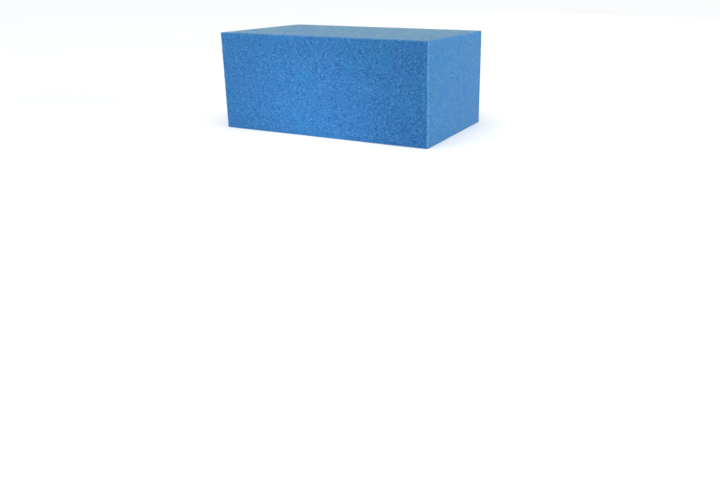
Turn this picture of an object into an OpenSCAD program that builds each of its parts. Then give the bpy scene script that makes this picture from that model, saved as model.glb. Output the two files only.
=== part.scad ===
// Foam block: one rectangular block of open-cell polyurethane foam, cut from sheet on a band knife.
// The cut surfaces are flat, the edges are eased by a cell's width, and the knife has opened the
// larger bubbles of the foam, which show as small round pits scattered over every face.
// Millimetres, +Z up. The origin is the centre of the face that the block stands on.

/* [Block] */
// Length of the block, along X
block_length = 300; // [150:1:450]
// Width of the block, along Y
block_width = 180; // [100:1:300]
// Height of the block, which is the thickness of the sheet it was cut from
block_height = 127; // [60:1:250]
// Radius of the eased edges, about one foam cell wide
edge_radius = 1.2; // [0.4:0.1:4]

/* [Opened bubbles] */
// Distance between neighbouring places where a large bubble may lie
pit_spacing = 47; // [35:1:90]
// Radius of the smallest bubble that shows as a pit
pit_radius_min = 0.8; // [0.5:0.1:1.5]
// Radius of the largest bubble that shows as a pit
pit_radius_max = 1.7; // [1.5:0.1:3]
// Share of a bubble's radius that the knife has taken off, 0 for half of a bubble
pit_cut_depth = 0.3; // [0:0.05:0.6]
// Bare border that keeps the pits off the edges
pit_border = 9; // [5:1:20]
// Bare square kept in the middle of each face, where the block is set down or glued
clear_patch = 20; // [10:1:60]
// Pattern of the pits: another number gives another scatter
pit_pattern = 14; // [1:1:50]

/* [Hidden] */

$fn = 48;
foam_blue = [0.25, 0.50, 0.76];

// How far a pit may stray from its place, as a share of the spacing
pit_stray = 0.36;
// Share of the places that hold a bubble large enough to see
pit_share = 0.4;

block_size = [block_length, block_width, block_height];

// Axes of the three pairs of faces: the two that span a face, then the one across it
FACES = [[0, 1, 2], [1, 2, 0], [2, 0, 1]];

// A rectangle with round corners, centred on the origin, with true arcs
module rounded_rectangle(size, radius) {
    inner = [size.x - 2 * radius, size.y - 2 * radius];
    square([size.x, inner.y], center = true);
    square([inner.x, size.y], center = true);
    for (x = [-1, 1], y = [-1, 1])
        translate([x * inner.x / 2, y * inner.y / 2]) circle(r = radius);
}

// The block's outline as seen along each axis
module outline_along_x() {
    rotate([90, 0, 90])
        linear_extrude(block_length, center = true)
            rounded_rectangle([block_width, block_height], edge_radius);
}

module outline_along_y() {
    rotate([90, 0, 0])
        linear_extrude(block_width, center = true)
            rounded_rectangle([block_length, block_height], edge_radius);
}

module outline_along_z() {
    linear_extrude(block_height, center = true)
        rounded_rectangle([block_length, block_width], edge_radius);
}

// The cut block with all twelve edges eased, centred on the origin
module cut_block() {
    intersection() {
        outline_along_x();
        outline_along_y();
        outline_along_z();
    }
}

// Number of places along a side of a face that is this long
function places_along(side) = max(1, floor((side - 2 * pit_border) / pit_spacing));

// Whether a point in a face is outside the bare patch in its middle
function off_patch(u, v) = max(abs(u), abs(v)) > clear_patch / 2 + pit_radius_max;

// Bubbles opened by one face: [along, across, radius] of each, from one place in each square of a grid
function opened_bubbles(side_u, side_v, pattern) =
    let (
        count_u = places_along(side_u),
        count_v = places_along(side_v),
        step_u = (side_u - 2 * pit_border) / count_u,
        step_v = (side_v - 2 * pit_border) / count_v,
        draw = rands(0, 1, 4 * count_u * count_v, pattern)
    )
    [
        for (i = [0 : count_u - 1], j = [0 : count_v - 1])
            let (
                k = 4 * (i * count_v + j),
                u = (i + 0.5 + pit_stray * (2 * draw[k] - 1)) * step_u - side_u / 2 + pit_border,
                v = (j + 0.5 + pit_stray * (2 * draw[k + 1] - 1)) * step_v - side_v / 2 + pit_border,
                radius = pit_radius_min + (pit_radius_max - pit_radius_min) * pow(draw[k + 2], 2)
            )
            if (draw[k + 3] < pit_share && off_patch(u, v)) [u, v, radius]
    ];

// The point at u and v in a face that lies at height w above the block's centre, along the axis across it
function in_face(axes, u, v, w) = [for (axis = [0 : 2]) axis == axes[0] ? u : axis == axes[1] ? v : w];

// A different pattern for each of the six faces
function face_pattern(pair, side) = len(FACES) * 2 * pit_pattern + 2 * pair + max(side, 0);

// The bubbles that the knife opened on all six faces
module opened_bubbles_all_round() {
    for (pair = [0 : len(FACES) - 1], side = [-1, 1]) {
        axes = FACES[pair];
        side_u = block_size[axes[0]];
        side_v = block_size[axes[1]];
        for (bubble = opened_bubbles(side_u, side_v, face_pattern(pair, side))) {
            rise = block_size[axes[2]] / 2 + pit_cut_depth * bubble[2];
            translate(in_face(axes, bubble[0], bubble[1], side * rise)) sphere(r = bubble[2]);
        }
    }
}

module foam_block() {
    color(foam_blue)
        translate([0, 0, block_height / 2])
            difference() {
                cut_block();
                opened_bubbles_all_round();
            }
}

foam_block();
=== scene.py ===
"""A block of blue open-cell foam, cut on a band knife, on a pale studio floor. Lengths are in metres."""
import math

import bmesh
import bpy
import numpy as np
from mathutils import Matrix, Vector, noise


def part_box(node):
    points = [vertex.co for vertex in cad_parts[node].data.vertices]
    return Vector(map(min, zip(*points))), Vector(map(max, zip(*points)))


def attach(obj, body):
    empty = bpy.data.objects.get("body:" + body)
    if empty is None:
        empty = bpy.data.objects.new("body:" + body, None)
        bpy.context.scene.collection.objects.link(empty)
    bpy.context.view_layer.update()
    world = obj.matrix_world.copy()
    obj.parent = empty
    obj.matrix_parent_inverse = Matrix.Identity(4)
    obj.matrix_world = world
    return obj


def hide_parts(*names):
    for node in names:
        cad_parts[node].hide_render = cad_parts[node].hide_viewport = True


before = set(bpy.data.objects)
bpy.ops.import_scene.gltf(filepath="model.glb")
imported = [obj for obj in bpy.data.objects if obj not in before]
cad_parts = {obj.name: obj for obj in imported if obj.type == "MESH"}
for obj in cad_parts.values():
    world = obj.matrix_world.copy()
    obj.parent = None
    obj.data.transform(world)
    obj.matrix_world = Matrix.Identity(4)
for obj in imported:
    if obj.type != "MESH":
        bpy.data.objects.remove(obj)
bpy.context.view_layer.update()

MM = 0.001
SEED = 23

# The block, from the frame
LOW, HIGH = (np.array(corner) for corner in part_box("foam_block"))
CENTRE = (LOW + HIGH) / 2
HALF = (HIGH - LOW) / 2

# The cut surface
EDGE_RADIUS = 1.2 * MM  # about one cell
EDGE_MARGIN = 0.5 * MM  # from the eased edge to the even part of the mesh
EASED_LINES = (1.0, 0.45, 0.0)  # mesh lines over an eased edge, as shares of its radius
GRID_STEP = 2.2 * MM  # spacing of the surface mesh on the flat
RIPPLE = 0.10 * MM  # how far the knife wandered
RIPPLE_LENGTH = 55 * MM
RELIEF = 0.12 * MM  # unevenness of the cut from cell to cell
RELIEF_LENGTH = 4 * MM
BITE = 0.5 * MM  # how deep the cells along an edge are torn out
BITE_LENGTH = 3.5 * MM
BITE_REACH = 1.8 * MM
BITE_BIAS = 0.1  # raises the share of an edge that is torn
UNDERSIDE = 0.3  # share of the unevenness that is left on the face that the block stands on
NOISE_STEP = (7.3, 3.1, 5.7)  # between the places that different noises are taken from
WELD = 0.01 * MM
SHARP_ANGLE = math.radians(40)  # the rims of the bubbles stay sharp

# Bubbles that the knife opened: those of the solid, and smaller ones between them
PIT_SINK = 0.3  # share of its radius that a bubble's centre lies outside the face
PIT_LEAST_DEPTH = 0.05 * MM  # a point of the solid that is deeper than this lies in a bubble
PIT_FROM_EDGE = 2 * EDGE_RADIUS  # unless it is nearer an edge than this
SOLID_WELD = 0.0001 * MM
BUBBLE_UNEVEN = 0.12
BUBBLE_FINENESS = 3  # of a bubble's mesh
SMALL_BUBBLE_FINENESS = 2
BUBBLE_RANGE = 50  # each bubble takes its form from a place in the noise no further out than this
SMALL_PITS_ON_FACE = 26
SMALL_PIT_RADIUS = (0.7 * MM, 1.15 * MM)
SMALL_PIT_BORDER = 6 * MM
PIT_GAP = 7 * MM

# The foam's cells. Each cell draws numbers from 0 to 1: one past the first of two limits starts to
# show the painted shade of an opened cell or the painted glint of a bright strut, and one past the second
# shows in full.
CELL = 1.35 * MM
FINE_CELL = 0.6 * MM
CELL_WALL = (0.02, 0.22)  # from a cell's wall, in cells
OPEN_CELLS = (0.64, 0.92)
GLINT_CELLS = (0.70, 0.96)
# strength of the painted glint on bright struts, of the painted highlight on cell walls and of the painted
# shade in the fine cells
GLINT_AMOUNT = 0.48
WALL_AMOUNT = 0.12
FINE_CELLS = (0.5, 0.9)
FINE_AMOUNT = 0.16

# Calm and busy patches of cells, and the slow change of tone
PATCH_LENGTH = 18 * MM
PATCH_DETAIL = 1.5
PATCH_LIMITS = (0.28, 0.54)
PATCH_BIAS = 0.1  # a busy patch shows this many more of its cells
CALM = 0.30  # strength of the cells in a calm patch
BUSY_GAIN = 0.5  # and how much stronger they are in a busy one
TONE_LENGTH = 70 * MM
TONE_LIMITS = (0.3, 0.7)

# Painted highlight along the edges, which is heavier on the upright ones, and painted shade inside the
# bubbles
EDGE_HIGHLIGHT_REACH = (0.6 * MM, 2.2 * MM)
EDGE_HIGHLIGHT = 0.25
UPRIGHT_EDGE_HIGHLIGHT = 0.33
EDGE_HIGHLIGHT_LEAST = 0.55  # share of the painted edge highlight that every cell takes
EDGE_HIGHLIGHT_CELLS = (0.2, 0.9)
BUBBLE_DEPTH = (0.25 * MM, 0.75 * MM)
BUBBLE_SHADE = 0.85

# The foam's colours: painted shade for the bottom of a cell, its own blues, and painted highlights on a
# strut and along an edge
FOAM_SHADE = (0.001, 0.030, 0.155, 1)
FOAM_BLUE = (0.017, 0.166, 0.414, 1)
FOAM_VIOLET = (0.019, 0.152, 0.422, 1)
FOAM_STRUT_HIGHLIGHT = (0.130, 0.370, 0.700, 1)
FOAM_EDGE_HIGHLIGHT = (0.190, 0.450, 0.760, 1)
FOAM_SHEEN = (0.84, 1.0, 0.46, 1)
FOAM_SHEEN_WEIGHT = 0.54
FOAM_SHEEN_ROUGHNESS = 0.18
FOAM_IOR = 1.35
FOAM_ROUGHNESS = 0.82
HOLLOW_ROUGHNESS = 0.15  # more of it in an opened cell

# Height of the foam's fine relief, and the parts that make it up
BUMP_HEIGHT = 0.5 * MM
BUMP_STRENGTH = 0.6
WALL_RISE = 0.3
HOLLOW_DROP = 0.6
CELL_TILT = 0.2
FINE_RISE = 0.1

# The floor and the backdrop
FLOOR_RADIUS = 12.0
FLOOR_SIDES = 64
FLOOR_COOL = (0.83, 0.84, 0.85, 1)
FLOOR_WARM = (0.86, 0.86, 0.86, 1)
FLOOR_PATCH = 0.6
FLOOR_ROUGHNESS = 0.9
FLOOR_UNEVEN = 0.08
BACKDROP_RINGS = 32
BACKDROP_WHITE = (0.97, 0.98, 1.0, 1)
BLACK = (0, 0, 0, 1)

# The lamps
AIR_COLOUR = (0.96, 0.98, 1.0, 1)
AIR_LIGHT = 0.33
SKY_LIGHT = 2.8
SKY_WIDTH = math.radians(70)
SKY_DIRECTION = (20, 75)  # azimuth and elevation in degrees
WARM = (1.0, 0.98, 0.90)
WHITE = (1.0, 1.0, 1.0)
COOL = (0.90, 0.95, 1.0)
BLOCK_FOOT = (0.0, -0.12, 0.0)
FLOOR_IN_FRONT = (-0.05, -0.22, 0.0)
# Power, azimuth and elevation in degrees, distance, size, spread in degrees, tint, and what it faces
SOFTBOXES = {
    "right_softbox": (0.64, 92, 10, 1.5, 0.5, 35, WARM, CENTRE),
    "left_softbox": (0.14, -62, 10, 0.8, 0.25, 45, COOL, CENTRE),
    "back_softbox": (5, 170, 18, 3.0, 1.6, 180, WHITE, CENTRE),
    "front_softbox": (0.03, 0, 50, 0.6, 0.08, 26, COOL, BLOCK_FOOT),
    "floor_spot": (0.22, 0, 90, 0.5, 0.08, 16, COOL, FLOOR_IN_FRONT),
}

# The camera, whose lens shift sets the block high in the picture
SENSOR = 36.0
FOCAL_PIXELS = 677.2
PICTURE_WIDTH = 720
LENS = SENSOR * FOCAL_PIXELS / PICTURE_WIDTH
LENS_SHIFT = (-0.077, -0.064)
CAMERA_NEAREST = 0.01
CAMERA_PLACE = Vector((0.4682, -0.8105, 0.1949))
CAMERA_AZIMUTH = math.radians(24.90)
CAMERA_PITCH = math.radians(17.66)
CAMERA_ROLL = math.radians(0.09)


# ---------------------------------------------------------------- the block's surface


def side_lines(half):
    """Places of the mesh lines along a side of the block: even on the flat, closer over the edges."""
    flat_half = half - EDGE_RADIUS - EDGE_MARGIN
    flat = np.linspace(-flat_half, flat_half, round(2 * flat_half / GRID_STEP) + 1)
    eased = half - EDGE_RADIUS * np.array(EASED_LINES)
    return np.concatenate([-eased[::-1], flat, eased])


def face_sheet(mesh, across, side):
    """Adds one face of the block, a sheet of quads on the sharp box around the origin."""
    first, second = [axis for axis in range(3) if axis != across]
    rows = []
    for u in side_lines(HALF[first]):
        place = np.zeros(3)
        place[first] = u
        place[across] = side * HALF[across]
        row = []
        for v in side_lines(HALF[second]):
            place[second] = v
            row.append(mesh.verts.new(place))
        rows.append(row)
    outward = (side > 0) != (across == 1)
    for low, high in zip(rows, rows[1:]):
        for i in range(len(low) - 1):
            corners = [low[i], high[i], high[i + 1], low[i + 1]]
            mesh.faces.new(corners if outward else corners[::-1])


def noise_at(places, length, seed):
    """Smooth noise from -1 to 1 at each place, with features of this length."""
    offset = Vector([seed * step for step in NOISE_STEP])
    return np.array([noise.noise(Vector(place) / length + offset) for place in places])


def cut_surface(places):
    """Eases the box's edges, and lets the knife wander and tear a few cells out along them."""
    core = np.clip(places, -(HALF - EDGE_RADIUS), HALF - EDGE_RADIUS)
    out = places - core
    out /= np.linalg.norm(out, axis=1, keepdims=True)
    depth_from_faces = np.sort(HALF - np.abs(places), axis=1)
    near_edge = np.clip(1 - depth_from_faces[:, 1] / BITE_REACH, 0, 1)
    torn = np.clip(noise_at(places, BITE_LENGTH, seed=1) + BITE_BIAS, 0, None)
    inward = RIPPLE * (noise_at(places, RIPPLE_LENGTH, seed=2) + 1) / 2
    inward += RELIEF * (noise_at(places, RELIEF_LENGTH, seed=3) + 1) / 2
    inward += BITE * near_edge * torn
    inward[places[:, 2] <= -HALF[2]] *= UNDERSIDE
    return core + out * (EDGE_RADIUS - inward)[:, None]


def solid_pits():
    """The bubbles opened in the solid, each found as an island of its mesh: centre and radius."""
    mesh = bmesh.new()
    mesh.from_mesh(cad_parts["foam_block"].data)
    bmesh.ops.remove_doubles(mesh, verts=mesh.verts, dist=SOLID_WELD)
    sunk = set()
    for vertex in mesh.verts:
        depths = np.sort(HALF - np.abs(np.array(vertex.co) - CENTRE))
        if depths[0] > PIT_LEAST_DEPTH and depths[1] > PIT_FROM_EDGE:
            sunk.add(vertex)
    pits = []
    while sunk:
        island = [sunk.pop()]
        for vertex in island:
            for edge in vertex.link_edges:
                other = edge.other_vert(vertex)
                if other in sunk:
                    sunk.remove(other)
                    island.append(other)
        cup = np.array([vertex.co for vertex in island]) - CENTRE
        middle = (cup.min(0) + cup.max(0)) / 2
        across = int(np.argmin(HALF - np.abs(middle)))
        depth = HALF[across] - np.abs(cup[:, across]).min()
        pits.append(pit(across, np.sign(middle[across]), middle, depth / (1 - PIT_SINK)))
    mesh.free()
    return sorted(pits, key=lambda found: tuple(found[0]))


def pit(across, side, place, radius):
    """A bubble's sphere, centred just outside a face: its centre and radius."""
    centre = np.array(place, float)
    centre[across] = side * (HALF[across] + PIT_SINK * radius)
    return centre, radius


def small_pits(draw, others):
    """Smaller bubbles, scattered over all six faces and clear of each other."""
    pits = list(others)
    for across in range(3):
        for side in (-1, 1):
            for _ in range(SMALL_PITS_ON_FACE):
                place = draw.uniform(-1, 1, 3) * (HALF - SMALL_PIT_BORDER)
                found = pit(across, side, place, draw.uniform(*SMALL_PIT_RADIUS))
                if min(np.linalg.norm(found[0] - other[0]) for other in pits) > PIT_GAP:
                    pits.append(found)
    return pits[len(others):]


def bubble_mesh(name, pits, draw):
    """All bubbles as one mesh of slightly uneven spheres."""
    mesh = bmesh.new()
    for centre, radius in pits:
        small = radius <= SMALL_PIT_RADIUS[1]
        fineness = SMALL_BUBBLE_FINENESS if small else BUBBLE_FINENESS
        made = bmesh.ops.create_icosphere(mesh, subdivisions=fineness, radius=radius)
        offset = Vector(draw.uniform(-BUBBLE_RANGE, BUBBLE_RANGE, 3))
        for vertex in made["verts"]:
            uneven = 1 + BUBBLE_UNEVEN * noise.noise(vertex.co / radius + offset)
            vertex.co = vertex.co * uneven + Vector(centre)
    return mesh_object(name, mesh)


def mesh_object(name, mesh):
    """Turns a bmesh into an object at the origin of the scene."""
    data = bpy.data.meshes.new(name)
    mesh.to_mesh(data)
    mesh.free()
    made = bpy.data.objects.new(name, data)
    bpy.context.scene.collection.objects.link(made)
    return made


def block_surface(name):
    """The cut block before its bubbles are opened: one closed sheet of quads."""
    mesh = bmesh.new()
    for across in range(3):
        for side in (-1, 1):
            face_sheet(mesh, across, side)
    bmesh.ops.remove_doubles(mesh, verts=mesh.verts, dist=WELD)
    places = cut_surface(np.array([vertex.co for vertex in mesh.verts]))
    for vertex, place in zip(mesh.verts, places):
        vertex.co = place
    return mesh_object(name, mesh)


def foam_block():
    """The foam block: its cut surface with every opened bubble taken out of it."""
    draw = np.random.default_rng(SEED)
    block = block_surface("cut_foam_block")
    pits = solid_pits()
    pits += small_pits(draw, pits)
    bubbles = bubble_mesh("opened_bubbles", pits, draw)
    cut = block.modifiers.new("open_bubbles", "BOOLEAN")
    cut.operation = "DIFFERENCE"
    cut.solver = "EXACT"
    cut.object = bubbles
    view = bpy.context.evaluated_depsgraph_get()
    opened = bpy.data.meshes.new_from_object(block.evaluated_get(view))
    block.modifiers.clear()
    block.data = opened
    bpy.data.objects.remove(bubbles)
    opened.transform(Matrix.Translation(Vector(CENTRE)))
    opened.shade_smooth()
    opened.set_sharp_from_angle(angle=SHARP_ANGLE)
    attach(block, "root")
    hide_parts("foam_block")
    return block


# ---------------------------------------------------------------- finish

# A Mix node that mixes colours: the sockets of its amount and its two colours, and of its result
MIX_AMOUNT, MIX_FIRST, MIX_SECOND = 0, 6, 7
MIX_RESULT = 2


def _operator(operation, swapped=False):
    """A Python operator that adds a Math node."""

    def apply(self, other):
        first, second = (other, self) if swapped else (self, other)
        return self.finish.add("ShaderNodeMath", {"operation": operation}, {0: first, 1: second})

    return apply


class Value:
    """A number or a colour that varies over a surface. Operators work on its numbers."""

    __add__ = _operator("ADD")
    __radd__ = _operator("ADD", swapped=True)
    __sub__ = _operator("SUBTRACT")
    __rsub__ = _operator("SUBTRACT", swapped=True)
    __mul__ = _operator("MULTIPLY")
    __rmul__ = _operator("MULTIPLY", swapped=True)
    lower_of = _operator("MINIMUM")
    higher_of = _operator("MAXIMUM")

    def __init__(self, finish, socket):
        self.finish = finish
        self.socket = socket

    def __abs__(self):
        return self.finish.add("ShaderNodeMath", {"operation": "ABSOLUTE"}, {0: self})

    def rise(self, start, end):
        """0 below start and 1 above end, with a smooth step between them."""
        inputs = {"Value": self, "From Min": start, "From Max": end}
        return self.finish.add("ShaderNodeMapRange", {"interpolation_type": "SMOOTHSTEP"}, inputs)


class Finish:
    """One material and the nodes that shade it."""

    def __init__(self, name):
        self.material = bpy.data.materials.new(name)
        self.material.use_nodes = True
        self.tree = self.material.node_tree
        self.shader = self.tree.nodes["Principled BSDF"]

    def add(self, kind, settings=None, inputs=None, output=0):
        """Adds a node with these settings and inputs, and gives one of its outputs."""
        node = self.tree.nodes.new(kind)
        for name, value in (settings or {}).items():
            setattr(node, name, value)
        for name, value in (inputs or {}).items():
            self.feed(node.inputs[name], value)
        return Value(self, node.outputs[output])

    def feed(self, socket, value):
        """Links a varying value to a socket, or sets a constant on it."""
        if isinstance(value, Value):
            self.tree.links.new(value.socket, socket)
        else:
            socket.default_value = value

    def mix(self, amount, first, second):
        """A colour between two colours."""
        inputs = {MIX_AMOUNT: amount, MIX_FIRST: first, MIX_SECOND: second}
        return self.add("ShaderNodeMix", {"data_type": "RGBA"}, inputs, MIX_RESULT)

    def shade(self, **sockets):
        """Sets the shader's own sockets, named with underscores."""
        for name, value in sockets.items():
            self.feed(self.shader.inputs[name.replace("_", " ")], value)

    def noise(self, place, length, detail=2.0):
        """Smooth noise around 0.5, with features of this length."""
        inputs = {"Vector": place, "Scale": 1 / length, "Detail": detail}
        return self.add("ShaderNodeTexNoise", {"noise_dimensions": "3D"}, inputs)

    def cells(self, place, size, feature, output):
        """Foam cells of this size: the distance from a cell's wall, or a cell's own random colour."""
        inputs = {"Vector": place, "Scale": 1 / size}
        return self.add("ShaderNodeTexVoronoi", {"feature": feature}, inputs, output)

    def parts(self, vector):
        """The three components of a vector or colour."""
        split = self.add("ShaderNodeSeparateXYZ", {}, {0: vector}).socket.node
        return [Value(self, socket) for socket in split.outputs]


def cut_foam():
    """Open-cell foam as the knife left it: opened cells darkened with painted shade, struts lightened with
    painted highlights, and edges paler with a painted highlight.
    """
    foam = Finish("cut_open_cell_foam")
    place = foam.add("ShaderNodeTexCoord", output="Object")
    x, y, z = foam.parts(place)
    depth_x = HALF[0] - abs(x - CENTRE[0])
    depth_y = HALF[1] - abs(y - CENTRE[1])
    depth_z = HALF[2] - abs(z - CENTRE[2])
    depth = depth_x.lower_of(depth_y).lower_of(depth_z)
    from_upright = depth_x.higher_of(depth_y)
    from_edge = depth_x.lower_of(depth_y).higher_of(from_upright.lower_of(depth_z))

    wall = foam.cells(place, CELL, "DISTANCE_TO_EDGE", "Distance")
    opened, filled, tilted = foam.parts(foam.cells(place, CELL, "F1", "Color"))
    fine, _, _ = foam.parts(foam.cells(place, FINE_CELL, "F1", "Color"))
    hole = wall.rise(*CELL_WALL)
    patch = foam.noise(place, PATCH_LENGTH, PATCH_DETAIL).rise(*PATCH_LIMITS)
    busy = CALM + patch * BUSY_GAIN
    tone = foam.noise(place, TONE_LENGTH).rise(*TONE_LIMITS)

    # painted shade in the opened cells, stronger in busy patches
    shaded_hollow = (opened + patch * PATCH_BIAS).rise(*OPEN_CELLS) * hole * busy
    # painted glint on the bright struts
    glint = (filled + patch * PATCH_BIAS).rise(*GLINT_CELLS) * (1 - shaded_hollow) * busy
    # painted shade deep inside the opened bubbles
    in_bubble = depth.rise(*BUBBLE_DEPTH)
    # painted highlight along the edges, heavier on the upright ones and patchy from cell to cell
    edge_highlight = (1 - from_edge.rise(*EDGE_HIGHLIGHT_REACH)) * EDGE_HIGHLIGHT
    edge_highlight = edge_highlight + (1 - from_upright.rise(*EDGE_HIGHLIGHT_REACH)) * UPRIGHT_EDGE_HIGHLIGHT
    edge_highlight = edge_highlight * (EDGE_HIGHLIGHT_LEAST + tilted.rise(*EDGE_HIGHLIGHT_CELLS) * (1 - EDGE_HIGHLIGHT_LEAST))

    colour = foam.mix(tone, FOAM_BLUE, FOAM_VIOLET)
    # painted shade in the fine cells and in the opened cells
    colour = foam.mix(fine.rise(*FINE_CELLS) * FINE_AMOUNT, colour, FOAM_SHADE)
    colour = foam.mix(shaded_hollow, colour, FOAM_SHADE)
    # painted glint on bright struts, and painted highlight on the cell walls
    colour = foam.mix(glint * GLINT_AMOUNT, colour, FOAM_STRUT_HIGHLIGHT)
    colour = foam.mix((1 - hole) * WALL_AMOUNT, colour, FOAM_STRUT_HIGHLIGHT)
    # painted highlight along the edges
    colour = foam.mix(edge_highlight, colour, FOAM_EDGE_HIGHLIGHT)
    # painted shade inside the bubbles
    colour = foam.mix(in_bubble * BUBBLE_SHADE, colour, FOAM_SHADE)
    height = (1 - hole) * WALL_RISE + (1 - shaded_hollow) * HOLLOW_DROP
    height = height + tilted * CELL_TILT + fine * FINE_RISE
    relief = {"Strength": BUMP_STRENGTH, "Distance": BUMP_HEIGHT, "Height": height}
    foam.shade(
        Base_Color=colour,
        Roughness=FOAM_ROUGHNESS + shaded_hollow * HOLLOW_ROUGHNESS,
        Normal=foam.add("ShaderNodeBump", {}, relief, "Normal"),
        Sheen_Weight=FOAM_SHEEN_WEIGHT,
        Sheen_Roughness=FOAM_SHEEN_ROUGHNESS,
        Sheen_Tint=FOAM_SHEEN,
        IOR=FOAM_IOR,
    )
    return foam.material


def pale_floor():
    """A matt, nearly white floor with a very faint unevenness."""
    floor = Finish("pale_floor")
    place = floor.add("ShaderNodeTexCoord", output="Object")
    uneven = floor.noise(place, FLOOR_PATCH)
    colour = floor.mix(uneven, FLOOR_COOL, FLOOR_WARM)
    floor.shade(Base_Color=colour, Roughness=FLOOR_ROUGHNESS + uneven * FLOOR_UNEVEN)
    return floor.material


def white_backdrop():
    """An even white that glows by itself."""
    white = Finish("white_backdrop")
    white.shade(
        Base_Color=BLACK,
        Specular_IOR_Level=0.0,
        Emission_Color=BACKDROP_WHITE,
        Emission_Strength=1.0,
    )
    return white.material


# ---------------------------------------------------------------- studio


def studio_floor():
    """A flat round floor, out to the foot of the backdrop."""
    sheet = bmesh.new()
    bmesh.ops.create_circle(sheet, cap_ends=True, segments=FLOOR_SIDES, radius=FLOOR_RADIUS)
    floor = mesh_object("studio_floor", sheet)
    floor.data.materials.append(pale_floor())


def studio_backdrop():
    """A white dome round the floor, which the camera sees but which lights nothing."""
    dome = bmesh.new()
    bmesh.ops.create_uvsphere(dome, u_segments=FLOOR_SIDES, v_segments=BACKDROP_RINGS, radius=FLOOR_RADIUS)
    backdrop = mesh_object("studio_backdrop", dome)
    backdrop.data.materials.append(white_backdrop())
    for ray in ("diffuse", "glossy", "transmission", "volume_scatter", "shadow"):
        setattr(backdrop, "visible_" + ray, False)


def toward(azimuth, elevation):
    """The direction to a lamp, in degrees from the front round to the right-hand end, and up."""
    turn, rise = math.radians(azimuth), math.radians(elevation)
    return Vector((math.sin(turn) * math.cos(rise), -math.cos(turn) * math.cos(rise), math.sin(rise)))


def lamp(name, kind, power, away, place, **settings):
    """A lamp at this place, which shines back along its direction. The camera doesn't see it."""
    data = bpy.data.lights.new(name, kind)
    data.energy = power
    for setting, value in settings.items():
        setattr(data, setting, value)
    made = bpy.data.objects.new(name, data)
    bpy.context.scene.collection.objects.link(made)
    made.location = place
    made.rotation_euler = away.to_track_quat("Z", "Y").to_euler()
    made.visible_camera = False


def studio_light():
    """Even white light all round, a wide sky, softboxes about the block and a spot on the floor."""
    world = bpy.data.worlds.new("studio_air")
    world.use_nodes = True
    air = world.node_tree.nodes["Background"]
    air.inputs["Color"].default_value = AIR_COLOUR
    air.inputs["Strength"].default_value = AIR_LIGHT
    bpy.context.scene.world = world
    lamp("sky_light", "SUN", SKY_LIGHT, toward(*SKY_DIRECTION), CENTRE, angle=SKY_WIDTH)
    for name, (power, azimuth, elevation, distance, size, spread, tint, target) in SOFTBOXES.items():
        away = toward(azimuth, elevation)
        place = Vector(target) + away * distance
        spread = math.radians(spread)
        lamp(name, "AREA", power, away, place, size=size, spread=spread, color=tint)


def studio_camera():
    """The camera, a little above the block and round to its right-hand end."""
    data = bpy.data.cameras.new("camera")
    data.sensor_width = SENSOR
    data.lens = LENS
    data.shift_x, data.shift_y = LENS_SHIFT
    data.clip_start = CAMERA_NEAREST
    camera = bpy.data.objects.new("camera", data)
    bpy.context.scene.collection.objects.link(camera)
    turn = Matrix.Rotation(CAMERA_AZIMUTH, 4, "Z")
    tilt = Matrix.Rotation(math.pi / 2 - CAMERA_PITCH, 4, "X")
    roll = Matrix.Rotation(CAMERA_ROLL, 4, "Z")
    camera.matrix_world = Matrix.Translation(CAMERA_PLACE) @ turn @ tilt @ roll
    bpy.context.scene.camera = camera


foam_block().data.materials.append(cut_foam())
studio_floor()
studio_backdrop()
studio_light()
studio_camera()
bpy.context.scene.view_settings.view_transform = "Standard"
